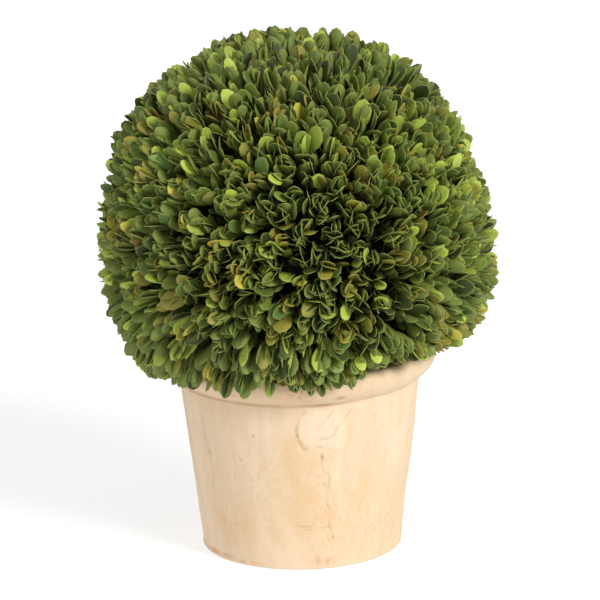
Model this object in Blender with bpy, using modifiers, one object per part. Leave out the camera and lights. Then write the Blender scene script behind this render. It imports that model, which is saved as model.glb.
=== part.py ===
"""A potted boxwood ball: a terracotta pot, its filling, a short stem and one clipped round crown.

Metres, +Z up. The origin is the middle of the pot's flat underside.
"""

import math
import random

import bmesh
import bpy
from mathutils import Matrix, Vector

# Driving dimensions
CROWN_HEIGHT = 0.2020
CROWN_RADIUS = 0.1275
POT_HEIGHT = 0.1300
POT_BASE_RADIUS = 0.0632
POT_NECK_RADIUS = 0.0765
POT_NECK_HEIGHT = 0.1110
RIM_RADIUS = 0.0868
RIM_WIDEST_HEIGHT = 0.1255

# The pot's wall, floor, foot, groove and rolled rim
POT_WALL = 0.0085
POT_FLOOR = 0.0100
FOOT_ROUND = 0.0020
GROOVE_DEPTH = 0.0008
GROOVE_WIDTH = 0.0018
RIM_CURVE = 2.3
LIP_ROUND = 0.0045
RIM_INNER_RADIUS = 0.0740
RIM_INNER_HEIGHT = 0.1275
POT_STEPS = 72
ROUND_POINTS = 5
RIM_POINTS = 6

# What stands in the pot
CLEARANCE = 0.0003
FILL_TOP = 0.0960
STEM_TOP = 0.1520
STEM_FOOT_RADIUS = 0.0085
STEM_TOP_RADIUS = 0.0050
STEM_FLARE = 0.0035
STEM_FLARE_HEIGHT = 0.0060
STEM_STEPS = 16

# The crown's round core, which overhangs the pot's lip and is drawn in to pass into its mouth
CROWN_CENTRE = Vector((0.0, 0.0, CROWN_HEIGHT))
CORE_RADIUS = 0.1070
SEAT_RADIUS = 0.0990
LIP_CLEARANCE = 0.0010
CORE_STEPS = 30
CORE_POINTS = 13
SEAT_POINTS = 5

# Bulges and hollows of the hand-clipped outline: degrees round from +X, degrees above level, rise
BULGES = (
    (-4.0, -16.0, 0.0050),
    (3.0, 12.0, -0.0045),
    (21.0, 54.0, 0.0050),
    (90.0, 78.0, 0.0028),
    (154.0, 60.0, 0.0040),
    (171.0, 31.0, 0.0045),
    (189.0, -31.0, 0.0050),
    (270.0, 25.0, 0.0025),
    (60.0, -5.0, -0.0030),
    (95.0, 15.0, 0.0035),
    (130.0, -15.0, 0.0025),
)
BULGE_WIDTH_DEGREES = 20.0
REACH_ROUNDS = 4

# The sprigs that stand out of the core, each a twig with pairs of leaves
SPRIGS = 118
SPRIG_SEED = 7
SPRIG_JITTER = 0.05
TWIG_SUNK = 0.0060
TWIG_LENGTH = 0.0070
TWIG_RADIUS = 0.0018
TWIG_TIP_RADIUS = 0.0010
PAIR_HEIGHTS = (-0.0030, 0.0055)
PAIR_SPREAD_DEGREES = (60.0, 36.0)
PAIR_LEAF_SCALES = (1.0, 0.85)

# One leaf
LEAF_LENGTH = 0.0330
LEAF_WIDTH = 0.0220
LEAF_THICKNESS = 0.0012
LEAF_WIDEST = 0.6
LEAF_SHORTEST = 0.45
LEAF_VARIETY = 0.08
LEAF_TWIST_DEGREES = 24.0
LEAF_HANG = 0.55
POT_MARGIN = 0.0010


def clear_scene():
    """Removes the objects of whatever scene this runs in."""
    for old in list(bpy.data.objects):
        bpy.data.objects.remove(old, do_unlink=True)


def new_collection(name):
    """A collection linked into the scene."""
    made = bpy.data.collections.new(name)
    bpy.context.scene.collection.children.link(made)
    return made


def principled(name, colour, roughness):
    """A plain Principled material."""
    material = bpy.data.materials.new(name)
    material.use_nodes = True
    shader = material.node_tree.nodes["Principled BSDF"]
    shader.inputs["Base Color"].default_value = (*colour, 1.0)
    shader.inputs["Roughness"].default_value = roughness
    shader.inputs["Metallic"].default_value = 0.0
    return material


def arc(centre, radii, start_degrees, end_degrees, points):
    """Points of a round or oval arc in the XZ plane, both ends included."""
    made = []
    for i in range(points):
        angle = math.radians(start_degrees + (end_degrees - start_degrees) * i / (points - 1))
        made.append((centre[0] + radii[0] * math.cos(angle), centre[1] + radii[1] * math.sin(angle)))
    return made


def turned(name, profile, steps, collection, material):
    """A solid of revolution about Z. The profile's outer side runs from top to bottom."""
    mesh = bpy.data.meshes.new(name)
    points = [(x, 0.0, z) for x, z in profile]
    edges = [(i, i + 1) for i in range(len(points) - 1)]
    mesh.from_pydata(points, edges, [])
    mesh.materials.append(material)
    made = bpy.data.objects.new(name, mesh)
    collection.objects.link(made)
    screw = made.modifiers.new("turn", "SCREW")
    screw.axis = "Z"
    screw.steps = steps
    screw.render_steps = steps
    screw.use_merge_vertices = True
    screw.merge_threshold = 0.00005
    screw.use_smooth_shade = True
    return made


def pot_radius(height):
    """The pot's outer radius below its rim, a straight taper."""
    return POT_BASE_RADIUS + (POT_NECK_RADIUS - POT_BASE_RADIUS) * height / POT_NECK_HEIGHT


def rim_profile():
    """The rim's outside, from its rounded lip down its swelling side to the groove under it."""
    lip_centre = (RIM_RADIUS - LIP_ROUND, RIM_WIDEST_HEIGHT)
    lip_radii = (LIP_ROUND, POT_HEIGHT - RIM_WIDEST_HEIGHT)
    made = arc(lip_centre, lip_radii, 90.0, 0.0, ROUND_POINTS)
    for i in range(1, RIM_POINTS + 1):
        share = i / RIM_POINTS
        radius = RIM_RADIUS - (RIM_RADIUS - POT_NECK_RADIUS) * share ** RIM_CURVE
        height = RIM_WIDEST_HEIGHT - (RIM_WIDEST_HEIGHT - POT_NECK_HEIGHT) * share
        made.append((radius, height))
    return made


def build_pot(collection, material):
    """The terracotta pot: a straight taper under a rolled rim, open at the top, with a closed floor."""
    inside = [
        (0.0, POT_FLOOR),
        (POT_BASE_RADIUS - POT_WALL, POT_FLOOR),
        (POT_NECK_RADIUS - POT_WALL, POT_NECK_HEIGHT),
        (RIM_INNER_RADIUS, RIM_INNER_HEIGHT),
        (RIM_INNER_RADIUS + POT_HEIGHT - RIM_INNER_HEIGHT, POT_HEIGHT),
    ]
    groove_middle = POT_NECK_HEIGHT - GROOVE_WIDTH / 2
    groove_foot = POT_NECK_HEIGHT - GROOVE_WIDTH
    groove = [
        (pot_radius(groove_middle) - GROOVE_DEPTH, groove_middle),
        (pot_radius(groove_foot), groove_foot),
    ]
    foot_centre = (pot_radius(FOOT_ROUND) - FOOT_ROUND, FOOT_ROUND)
    foot = arc(foot_centre, (FOOT_ROUND, FOOT_ROUND), 0.0, -90.0, ROUND_POINTS)
    profile = inside + rim_profile() + groove + foot + [(0.0, 0.0)]
    return turned("pot", profile, POT_STEPS, collection, material)


def build_filling(collection, material):
    """What the pot is filled with, from its floor to a little below the crown."""
    slope = (POT_NECK_RADIUS - POT_BASE_RADIUS) / (POT_NECK_HEIGHT - POT_FLOOR)
    bottom = POT_FLOOR + CLEARANCE
    bottom_radius = POT_BASE_RADIUS - POT_WALL - CLEARANCE
    top_radius = bottom_radius + slope * (FILL_TOP - bottom)
    profile = [(0.0, FILL_TOP), (top_radius, FILL_TOP), (bottom_radius, bottom), (0.0, bottom)]
    return turned("filling", profile, POT_STEPS, collection, material)


def stem_radius(height):
    """The stem's radius at a height above the filling: a taper with a short flare at its foot."""
    share = (height - FILL_TOP) / (STEM_TOP - FILL_TOP)
    taper = STEM_FOOT_RADIUS + (STEM_TOP_RADIUS - STEM_FOOT_RADIUS) * share
    flare = max(0.0, 1.0 - (height - FILL_TOP) / STEM_FLARE_HEIGHT)
    return taper + STEM_FLARE * flare ** 2


def build_stem(collection, material):
    """The short woody stem from the filling into the crown, cut flat at its foot."""
    foot = FILL_TOP + CLEARANCE
    heights = [STEM_TOP, FILL_TOP + STEM_FLARE_HEIGHT, FILL_TOP + STEM_FLARE_HEIGHT / 2, foot]
    side = [(stem_radius(height), height) for height in heights]
    profile = [(0.0, STEM_TOP)] + side + [(0.0, foot)]
    return turned("stem", profile, STEM_STEPS, collection, material)


def build_core(collection, material):
    """The crown's core: a ball above the pot's lip, a smaller one in its mouth, a socket for the stem."""
    centre = (0.0, CROWN_CENTRE.z)
    drop = CROWN_CENTRE.z - (POT_HEIGHT + LIP_CLEARANCE)
    overhang_degrees = -math.degrees(math.asin(drop / CORE_RADIUS))
    seat_degrees = -math.degrees(math.asin(drop / SEAT_RADIUS))
    mouth_radius = stem_radius(CROWN_CENTRE.z - SEAT_RADIUS) + CLEARANCE
    mouth_degrees = -90.0 + math.degrees(math.asin(mouth_radius / SEAT_RADIUS))
    profile = arc(centre, (CORE_RADIUS, CORE_RADIUS), 90.0, overhang_degrees, CORE_POINTS)
    profile[0] = (0.0, CROWN_CENTRE.z + CORE_RADIUS)
    profile += arc(centre, (SEAT_RADIUS, SEAT_RADIUS), seat_degrees, mouth_degrees, SEAT_POINTS)
    socket_top = STEM_TOP + CLEARANCE
    profile += [(stem_radius(STEM_TOP) + CLEARANCE, socket_top), (0.0, socket_top)]
    return turned("crown", profile, CORE_STEPS, collection, material)


def sprig_directions(rng):
    """Directions spread evenly over a sphere by a golden-angle spiral, each moved a little."""
    golden_angle = math.pi * (3.0 - math.sqrt(5.0))
    made = []
    for i in range(SPRIGS):
        up = 1.0 - 2.0 * (i + 0.5) / SPRIGS
        level = math.sqrt(1.0 - up * up)
        spin = golden_angle * i
        direction = Vector((level * math.cos(spin), level * math.sin(spin), up))
        moved = Vector([rng.uniform(-SPRIG_JITTER, SPRIG_JITTER) for _ in range(3)])
        made.append((direction + moved).normalized())
    return made


def square_pair(axis, spin):
    """Two unit vectors square to an axis and to each other, turned about it by spin."""
    first = axis.orthogonal().normalized()
    turn = Matrix.Rotation(spin, 3, axis)
    return turn @ first, turn @ axis.cross(first)


def leaf_mesh():
    """A thin leaf along +X with its root at the origin and its upper side towards +Z."""
    made = bmesh.new()
    middle = LEAF_WIDEST * LEAF_LENGTH
    half = LEAF_WIDTH / 2
    corners = [(0.0, 0.0, 0.0), (middle, half, 0.0), (LEAF_LENGTH, 0.0, 0.0), (middle, -half, 0.0)]
    rim = [made.verts.new(corner) for corner in corners]
    top = made.verts.new((middle, 0.0, LEAF_THICKNESS / 2))
    bottom = made.verts.new((middle, 0.0, -LEAF_THICKNESS / 2))
    for corner, after in zip(rim, rim[1:] + rim[:1]):
        made.faces.new((after, corner, top))
        made.faces.new((corner, after, bottom))
    bmesh.ops.recalc_face_normals(made, faces=made.faces)
    mesh = bpy.data.meshes.new("leaf")
    made.to_mesh(mesh)
    made.free()
    return mesh


def twig_mesh():
    """A three-sided tapering twig along +X, its foot at the origin."""
    made = bmesh.new()
    length = TWIG_SUNK + TWIG_LENGTH
    bmesh.ops.create_cone(
        made, cap_ends=True, segments=3, radius1=TWIG_RADIUS, radius2=TWIG_TIP_RADIUS, depth=length
    )
    bmesh.ops.translate(made, verts=made.verts, vec=(0.0, 0.0, length / 2))
    bmesh.ops.rotate(made, verts=made.verts, matrix=Matrix.Rotation(math.pi / 2, 3, "Y"))
    mesh = bpy.data.meshes.new("twig")
    made.to_mesh(mesh)
    made.free()
    return mesh


def place(mesh, name, collection, origin, along, face, scale=1.0):
    """Adds an object of a mesh whose +X lies along one vector and whose +Z lies near another."""
    side = face.cross(along).normalized()
    turn = Matrix((along, side, along.cross(side))).transposed().to_4x4()
    made = bpy.data.objects.new(name, mesh)
    made.matrix_world = Matrix.Translation(origin) @ turn @ Matrix.Scale(scale, 4)
    collection.objects.link(made)


def pot_reach(height):
    """How far from the axis nothing may grow at a height, none above the pot's lip."""
    if height > POT_HEIGHT + POT_MARGIN:
        return 0.0
    if height > POT_NECK_HEIGHT:
        return RIM_RADIUS + POT_MARGIN
    return pot_radius(height) + POT_MARGIN


def clears_pot(points):
    """True if every point stays outside the pot and out of its mouth."""
    return all(math.hypot(point.x, point.y) >= pot_reach(point.z) for point in points)


def direction_at(round_degrees, up_degrees):
    """The unit vector so far round from +X and so far above level."""
    level = math.cos(math.radians(up_degrees))
    spin = math.radians(round_degrees)
    return Vector((level * math.cos(spin), level * math.sin(spin), math.sin(math.radians(up_degrees))))


def clipped_radius(direction):
    """How far the clipped outline is from the crown's middle in a direction."""
    radius = CROWN_RADIUS
    for round_degrees, up_degrees, rise in BULGES:
        away = direction.angle(direction_at(round_degrees, up_degrees))
        radius += rise * math.exp(-(away / math.radians(BULGE_WIDTH_DEGREES)) ** 2)
    return radius


def reach_along(point, along):
    """How far it is from a point along a direction to the crown's clipped outline."""
    offset = point - CROWN_CENTRE
    lead = offset.dot(along)
    reach = 0.0
    for _ in range(REACH_ROUNDS):
        radius = clipped_radius(offset + along * reach)
        reach = math.sqrt(lead ** 2 + radius ** 2 - offset.length_squared) - lead
    return reach


def leaf_points(root, along, side, length):
    """Points along both edges of a leaf and at its tip."""
    made = [root + along * length]
    half = side * LEAF_WIDTH / 2 * length / LEAF_LENGTH
    for share, width in ((LEAF_WIDEST / 2, 0.5), (LEAF_WIDEST, 1.0), ((1.0 + LEAF_WIDEST) / 2, 0.5)):
        middle = root + along * length * share
        made += [middle + half * width, middle - half * width]
    return made


def grow_leaf(leaf, collection, root, along, face, wanted):
    """One leaf clipped to the crown's outline, or none where it would be short or meet the pot."""
    length = min(wanted, reach_along(root, along))
    side = face.cross(along).normalized()
    if length >= LEAF_SHORTEST * LEAF_LENGTH and clears_pot(leaf_points(root, along, side, length)):
        place(leaf, "leaf", collection, root, along, face, length / LEAF_LENGTH)


def grow_sprig(twig, leaf, collection, direction, rng):
    """A twig out of the core with pairs of leaves, each pair a quarter turn from the last."""
    surface = CROWN_CENTRE + direction * CORE_RADIUS
    if not clears_pot([surface, surface + direction * TWIG_LENGTH]):
        return
    outwards = square_pair(direction, rng.uniform(0.0, math.pi))
    place(twig, "twig", collection, surface - direction * TWIG_SUNK, direction, outwards[0])
    hang = Vector((0.0, 0.0, LEAF_HANG * min(0.0, direction.z)))
    for pair, height in enumerate(PAIR_HEIGHTS):
        root = surface + direction * height
        spread = math.radians(PAIR_SPREAD_DEGREES[pair])
        for way in (outwards[pair % 2], -outwards[pair % 2]):
            along = (direction * math.cos(spread) + way * math.sin(spread) + hang).normalized()
            twist = math.radians(rng.uniform(-LEAF_TWIST_DEGREES, LEAF_TWIST_DEGREES))
            face = Matrix.Rotation(twist, 3, along) @ (direction - way)
            size = PAIR_LEAF_SCALES[pair] * rng.uniform(1.0 - LEAF_VARIETY, 1.0 + LEAF_VARIETY)
            grow_leaf(leaf, collection, root, along, face, LEAF_LENGTH * size)


def build_crown(collection, material):
    """The clipped crown: its core and every twig and leaf, joined into one solid."""
    core = build_core(collection, material)
    sprigs = new_collection("sprigs")
    rng = random.Random(SPRIG_SEED)
    leaf = leaf_mesh()
    twig = twig_mesh()
    for direction in sprig_directions(rng):
        grow_sprig(twig, leaf, sprigs, direction, rng)
    join = core.modifiers.new("join", "BOOLEAN")
    join.operation = "UNION"
    join.operand_type = "COLLECTION"
    join.collection = sprigs
    join.solver = "EXACT"
    evaluated = core.evaluated_get(bpy.context.evaluated_depsgraph_get())
    joined = bpy.data.meshes.new_from_object(evaluated)
    joined.name = "crown"
    joined.materials.clear()
    joined.materials.append(material)
    core.modifiers.clear()
    core.data = joined
    for grown in list(sprigs.objects):
        bpy.data.objects.remove(grown, do_unlink=True)
    bpy.data.collections.remove(sprigs)
    return core


def main():
    clear_scene()
    plant = new_collection("potted_boxwood")
    build_pot(plant, principled("terracotta", (0.80, 0.66, 0.49), 0.75))
    build_filling(plant, principled("filling", (0.10, 0.07, 0.05), 0.95))
    build_stem(plant, principled("bark", (0.25, 0.19, 0.12), 0.85))
    build_crown(plant, principled("leaf", (0.12, 0.18, 0.05), 0.50))


main()
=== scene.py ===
"""The looks of the potted boxwood ball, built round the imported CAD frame.

Metres, +Z up. The origin is the middle of the pot's underside, and the photograph's camera stands at -Y.
"""

import math

import bpy
import numpy as np
from mathutils import Matrix, Vector


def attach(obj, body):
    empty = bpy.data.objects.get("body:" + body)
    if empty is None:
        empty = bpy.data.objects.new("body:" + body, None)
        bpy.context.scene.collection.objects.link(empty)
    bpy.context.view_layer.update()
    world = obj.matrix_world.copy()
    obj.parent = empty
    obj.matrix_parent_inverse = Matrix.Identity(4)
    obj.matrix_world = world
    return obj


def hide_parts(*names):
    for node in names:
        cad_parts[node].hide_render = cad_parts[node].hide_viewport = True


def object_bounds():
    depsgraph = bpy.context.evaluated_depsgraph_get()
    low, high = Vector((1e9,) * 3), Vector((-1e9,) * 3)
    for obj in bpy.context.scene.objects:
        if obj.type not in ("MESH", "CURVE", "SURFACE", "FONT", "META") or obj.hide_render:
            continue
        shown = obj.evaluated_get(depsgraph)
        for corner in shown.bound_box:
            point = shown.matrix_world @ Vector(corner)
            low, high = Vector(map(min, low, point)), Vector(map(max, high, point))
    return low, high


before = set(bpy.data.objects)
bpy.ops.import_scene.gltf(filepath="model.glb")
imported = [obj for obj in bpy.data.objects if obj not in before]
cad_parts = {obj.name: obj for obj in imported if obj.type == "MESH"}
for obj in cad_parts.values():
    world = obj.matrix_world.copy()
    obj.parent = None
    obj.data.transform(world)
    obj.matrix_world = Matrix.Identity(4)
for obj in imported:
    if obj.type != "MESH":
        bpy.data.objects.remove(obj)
cad_low, cad_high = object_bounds()

# Driving dimensions, the same as in the part's source
CROWN_HEIGHT = 0.202
CROWN_RADIUS = 0.1275
CROWN_CENTRE = np.array([0.0, 0.0, CROWN_HEIGHT])
POT_HEIGHT = 0.13
POT_BASE_RADIUS = 0.0632
POT_NECK_RADIUS = 0.0765
POT_NECK_HEIGHT = 0.111
RIM_RADIUS = 0.0868
RIM_WIDEST_HEIGHT = 0.1255
POT_WALL = 0.0085
POT_FLOOR = 0.01
FOOT_ROUND = 0.002
GROOVE_DEPTH = 0.0008
GROOVE_WIDTH = 0.0018
RIM_CURVE = 2.3
LIP_ROUND = 0.0045
RIM_INNER_RADIUS = 0.074
RIM_INNER_HEIGHT = 0.1275
CLEARANCE = 0.0003
FILL_TOP = 0.096
STEM_TOP = 0.152
STEM_FOOT_RADIUS = 0.0085
STEM_TOP_RADIUS = 0.005
STEM_FLARE = 0.0035
STEM_FLARE_HEIGHT = 0.006

# The photograph's camera
TARGET = Vector((0.0011, 0.0, 0.158))
CAMERA_DISTANCE = 2.52
CAMERA_ELEVATION_DEGREES = 14.6
CAMERA_ROLL_DEGREES = 1.0
LENS_MM = 240.0
CLIP_NEAR = 0.05
CLIP_FAR = 50.0

# The floor, its own glow, and the light from all round
WHITE = (1.0, 1.0, 1.0, 1.0)
FLOOR_HALF = 8.0
FLOOR_GREY = 0.42
FLOOR_GLOW = 0.66
SKY_STRENGTH = 0.52

# Lights: name, degrees from the front to the right, degrees up, strength, width in degrees, colour
SUNS = (
    ("key", 44.0, 30.0, 2.6, 20.0, (1.0, 0.985, 0.95)),
    ("fill", -52.0, 22.0, 0.65, 60.0, (0.97, 0.985, 1.0)),
)

# Bulges and hollows of the hand-clipped outline: degrees round from +X, degrees above level, rise
BULGES = (
    (-4.0, -16.0, 0.005),
    (3.0, 12.0, -0.0045),
    (21.0, 54.0, 0.005),
    (90.0, 78.0, 0.0028),
    (154.0, 60.0, 0.004),
    (171.0, 31.0, 0.0045),
    (189.0, -31.0, 0.005),
    (270.0, 25.0, 0.0025),
    (60.0, -5.0, -0.003),
    (95.0, 15.0, 0.0035),
    (130.0, -15.0, 0.0025),
)
BULGE_WIDTH_DEGREES = 20.0
REACH_ROUNDS = 4

# Sprigs: how they spread over the ball and lean, with a fringe of extra ones low down
SPRIGS = 2720
SPRIG_SEED = 11
SPRIG_JITTER = 0.032
FRINGE_SPRIGS = 190
FRINGE_UP = (-0.74, -0.6)
CORE_RADIUS = 0.093
TWIG_FOOT_RADIUS = 0.088
TIP_DEPTHS = (0.016, 0.029)
UP_LEAN = 0.26
SIDE_LEAN = -0.12
DRIFT_LEAN = 0.12
DRIFT_WAVELENGTH = 1.15
LEAN_JITTER = 0.15
GOLDEN_ANGLE = math.pi * (3.0 - math.sqrt(5.0))

# Low sprigs pass over the pot's rim and let their leaves hang, further on the photograph's left. Their
# leaves are trimmed at a height that rises from left to right over the sideways directions in TRIM_TURNS
LOW_START = -0.25
LOW_END = -0.6
LOW_FLATTEN = 1.12
LOW_STEADIER = 0.5
LOW_SPIN_JITTER = 0.4
LOW_TIP_RISE = 0.0035
LOW_HANG = 0.8
LOW_HANG_TO_LEFT = 0.9
TRIM_LEFT = 0.104
TRIM_RIGHT = 0.1385
TRIM_TURNS = (-0.05, 0.42)

# Pairs of leaves, from a sprig's tip down: depth below the tip, spread from the axis, share of full size
PAIRS = ((0.0, 6.0, 0.92), (0.007, 12.0, 1.0))
INNER_PAIRS = ((0.014, 20.0, 0.96),)
SPREAD_JITTER_DEGREES = 10.0
TURN_JITTER_DEGREES = 30.0
TWIST_JITTER_DEGREES = 40.0
DEPTH_JITTER = 0.0022
MISSING_SHARE = 0.1

# One leaf: its size, how far its tip stays inside the outline, and its own outline in shares
LEAF_LENGTH = 0.02
LEAF_LENGTH_SIGMA = 0.15
LEAF_SHORTEST = 0.01
LEAF_LONGEST = 0.0255
LEAF_SLIMMEST = 0.38
LEAF_BROADEST = 0.54
LEAF_THICKNESS = 0.00032
LEAF_INSETS = (0.0002, 0.006)
LEAF_MIDDLE = 0.6
LEAF_ROWS = (0.0, 0.24, 0.5, 0.74, 0.92)
LEAF_HALF_WIDTHS = (0.09, 0.5, 0.94, 0.95, 0.56)
INNER_LEAF_ROWS = (0.0, 0.3, 0.64, 0.88)
INNER_LEAF_HALF_WIDTHS = (0.09, 0.6, 1.0, 0.7)
MARGIN_SHARE = 0.05
KEEL_DEPTH = 0.3
NOTCHED_SHARE = 0.25
NOTCH_DEPTH = 0.045
LEAF_FOLD = (0.0, 0.16)
LEAF_CURL = (-0.08, 0.1)
POT_MARGIN = 0.001
BOX_MARGIN = 0.0022
SMALLEST_SLOPE = 1e-6

# Kinds of a leaf's faces
UPPER, UNDER, EDGE = range(3)

# Leaf greens from the oldest to the freshest, each sRGB from 0 to 255, with the score of freshness and
# painted light where each gives way to the next, and the colours of undersides and margins
GREENS = (
    ("deep", (60, 70, 32)),
    ("dark", (86, 102, 44)),
    ("mid", (116, 134, 56)),
    ("fresh", (152, 168, 68)),
    ("bright", (170, 188, 76)),
    ("lime", (178, 197, 82)),
)
GREEN_STEPS = (-1.02, -0.24, 0.46, 1.12, 1.88)
UNDERSIDES = (("under_green", (118, 132, 64)), ("under_olive", (138, 136, 64)))
MARGINS = (("margin_green", (134, 144, 72)), ("margin_olive", (154, 148, 74)))

# Leaves off the run of greens, the warm ones first: name, colour, share of sprays, share of single leaves
ODD_KINDS = (
    ("olive", (140, 134, 54), 0.06, 0.07),
    ("yellow", (186, 178, 70), 0.012, 0.018),
    ("brown", (106, 92, 44), 0.004, 0.006),
    ("emerald", (82, 106, 46), 0.04, 0.04),
)
WARM_KINDS = 3

# Roughness and specular level of a leaf's upper side, underside and margin
LEAF_FINISHES = ((0.44, 0.3), (0.58, 0.25), (0.55, 0.2))

# What makes a leaf lighter: its spray, itself, a drift over the ball as (height, wavelength, seed), how
# near the tip it grows, a flush of new growth, and painted light on the ball's right side, where the key
# light falls
SPRAY_WEIGHT = 0.78
LEAF_WEIGHT = 0.62
FRESH_LAYERS = ((0.4, 0.9, SPRIG_SEED + 5),)
# Leaves deeper below a sprig's tip are darker: partly older leaves, partly painted shade inside the crown
DARKER_PER_METRE_DEEP = 60.0
FLUSH_SHARE = 0.145
FLUSH_FRESHNESS = 1.8
# Painted light: leaves on the ball's right side, towards the key light, are dealt lighter greens
PAINTED_LIGHT_SIDE = np.array([0.2, 0.1, 0.0])

# Areas of lighter or darker leaves: degrees round from +X, degrees above level, change. Those in front are
# painted light and shade, darker low in front and on top and lighter where the two lights fall; those
# behind are uneven colour
TONE_AREAS = (
    (-90.0, -28.0, -1.3),
    (-90.0, 5.0, -0.25),
    (-90.0, 80.0, -1.0),
    (-156.0, 0.0, 0.3),
    (-24.0, 0.0, 0.2),
    (-45.0, 32.0, 0.4),
    (-47.0, -28.0, 0.3),
    (-140.0, -32.0, 0.15),
    (60.0, 20.0, 0.3),
    (120.0, -20.0, -0.3),
    (100.0, 50.0, 0.2),
)
TONE_AREA_WIDTH_DEGREES = 30.0

# Twigs: the shares of their length and the radii of their rings
TWIG_SIDES = 4
TWIG_SHARES = (0.0, 0.45, 0.92, 1.0)
TWIG_RADII = (0.0009, 0.0007, 0.0007, 0.0002)
TWIG_PAST_TIP = 0.0022
TWIG_BEND = 0.0012
TWIG_PROBES = 7

# Smooth noise: the plane waves in a layer, and each piece's layers of (height, wavelength, seed)
WAVE_COUNT = 24
CORE_LAYERS = ((1.0, 0.16, 31), (0.7, 0.07, 32))
BARK_RIDGES = ((0.00022, 0.0045, 41),)
BARK_LUMPS = ((0.0002, 0.012, 42),)
FILL_LAYERS = ((1.0, 0.011, 51), (0.6, 0.005, 52))
RAGGED_LAYERS = ((1.0, 0.016, 61), (0.5, 0.006, 62))
WANDER_LAYERS = ((0.0003, 0.007, 63),)
POT_LAYERS = ((0.00018, 0.06, 64), (0.00006, 0.012, 65))
GROOVE_LAYERS = ((0.45, 0.03, 66),)

# The core, the stem and the filling
CORE_RINGS = 90
CORE_AROUND = 170
CORE_POLE_DEGREES = 1.0
CORE_RELIEF = 0.0012
STEM_AROUND = 48
STEM_RINGS = 60
BARK_STRETCH = 0.25
BARK_INSET = 0.0006
FILL_AROUND = 120
FILL_TOP_RINGS = 50
FILL_WALL_RINGS = 12
FILL_FLOOR_RINGS = 5
FILL_RELIEF = 0.0007
FILL_INSET = 0.0018

# The pot's fine grid
POT_FRONT_DEGREES = 72.0
POT_FRONT_STEP_DEGREES = 0.45
POT_BACK_STEP_DEGREES = 2.5
POT_ROW_HEIGHT = 0.0007
INNER_WALL_ROWS = 12
LIP_POINTS = 10
FOOT_POINTS = 7
LIP_FLAT = 0.002
LIP_EASE = (0.0008, 0.0007)

# Marks on the pot's outside, each by its angle in degrees right of the front and its height in metres
ARC_PATHS = (((2.0, 0.105), (-1.0, 0.101), (-2.2, 0.094), (-1.4, 0.087), (1.4, 0.0815)),)
STREAK_PATHS = (((-56.0, 0.096), (-55.5, 0.0895), (-54.0, 0.0765), (-51.5, 0.0605), (-53.0, 0.049)),)
CRACKS = (
    ((16.0, 0.1065), (12.8, 0.1018), (9.5, 0.098)),
    ((24.5, 0.1055), (21.6, 0.0998), (18.0, 0.0955), (16.0, 0.089), (9.0, 0.0872)),
    ((1.4, 0.0815), (6.0, 0.0838), (10.0, 0.083)),
    ((10.6, 0.079), (10.4, 0.0755), (10.6, 0.068), (14.2, 0.0628), (14.4, 0.056)),
    ((14.4, 0.056), (12.8, 0.046), (14.8, 0.039), (14.6, 0.029), (17.0, 0.021)),
    ((-4.0, 0.0304), (2.0, 0.0296), (7.0, 0.0299)),
    ((1.0, 0.0276), (9.0, 0.028), (14.4, 0.0286)),
)

# Lines: name, paths, how many times the wander they take, width
LINES = (
    ("cracks", CRACKS, 1.0, 0.00045),
    ("arc", ARC_PATHS, 2.0, 0.0011),
    ("streak", STREAK_PATHS, 2.0, 0.0018),
)

# Spots: angle, height, radius
SPOTS = (
    (10.5, 0.0755, 0.0011),
    (17.0, 0.021, 0.0009),
    (-23.5, 0.089, 0.001),
    (-52.0, 0.0725, 0.001),
    (-36.0, 0.0735, 0.0007),
    (-31.5, 0.072, 0.0008),
    (-1.5, 0.0905, 0.001),
    (6.5, 0.124, 0.0014),
    (0.0, 0.118, 0.001),
    (18.0, 0.1155, 0.0009),
    (112.0, 0.083, 0.0011),
    (150.0, 0.052, 0.0009),
    (171.0, 0.098, 0.001),
    (228.0, 0.04, 0.0011),
)

# Oval areas: angle, height, half angle, half height, strength
PATCH_AREAS = ((11.0, 0.0945, 13.5, 0.0125, 1.0),)
WARM_AREAS = (
    (-4.0, 0.07, 14.0, 0.03, 1.0),
    (-2.0, 0.04, 20.0, 0.03, 0.8),
    (-30.0, 0.024, 26.0, 0.02, 0.7),
    (37.0, 0.05, 9.0, 0.014, 0.6),
    (2.0, 0.118, 16.0, 0.006, 0.6),
    (120.0, 0.05, 22.0, 0.026, 0.8),
    (215.0, 0.07, 18.0, 0.03, 0.7),
)
RUST_AREAS = (
    (14.0, 0.005, 10.0, 0.0034, 1.0),
    (-60.0, 0.0036, 20.0, 0.0022, 1.0),
    (-34.0, 0.0026, 14.0, 0.0018, 0.8),
    (6.5, 0.125, 2.6, 0.005, 1.0),
    (1.0, 0.1215, 7.0, 0.0034, 0.7),
    (18.0, 0.116, 6.0, 0.002, 0.7),
    (-31.0, 0.117, 5.0, 0.0022, 0.7),
    (140.0, 0.005, 12.0, 0.003, 0.8),
    (250.0, 0.0045, 9.0, 0.0024, 0.8),
)
PALE_AREAS = (
    (18.0, 0.066, 3.4, 0.015, 1.0),
    (-16.0, 0.096, 12.0, 0.01, 0.7),
    (-66.0, 0.07, 7.0, 0.04, 0.8),
    (60.0, 0.08, 12.0, 0.02, 0.5),
    (165.0, 0.07, 14.0, 0.02, 0.7),
)

# Where the edges of the areas start and end, and how ragged they are
PATCH_EDGE = (0.88, 1.02)
PATCH_RAGGED = 0.1
AREA_EDGE = (0.1, 1.3)
AREA_RAGGED = 0.16

# How far each mark rises from the pot's face, and how dirty or warm it is
MARK_RISES = {"patch": 0.00022, "cracks": -0.0002, "arc": -0.00024, "spots": -0.00026}
MARK_DIRT = {"cracks": 0.56, "spots": 0.62, "streak": 0.14}
ARC_DIRT = 0.42
ARC_WARMTH = 0.9
POT_RELIEF_MOST = 0.0004

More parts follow.
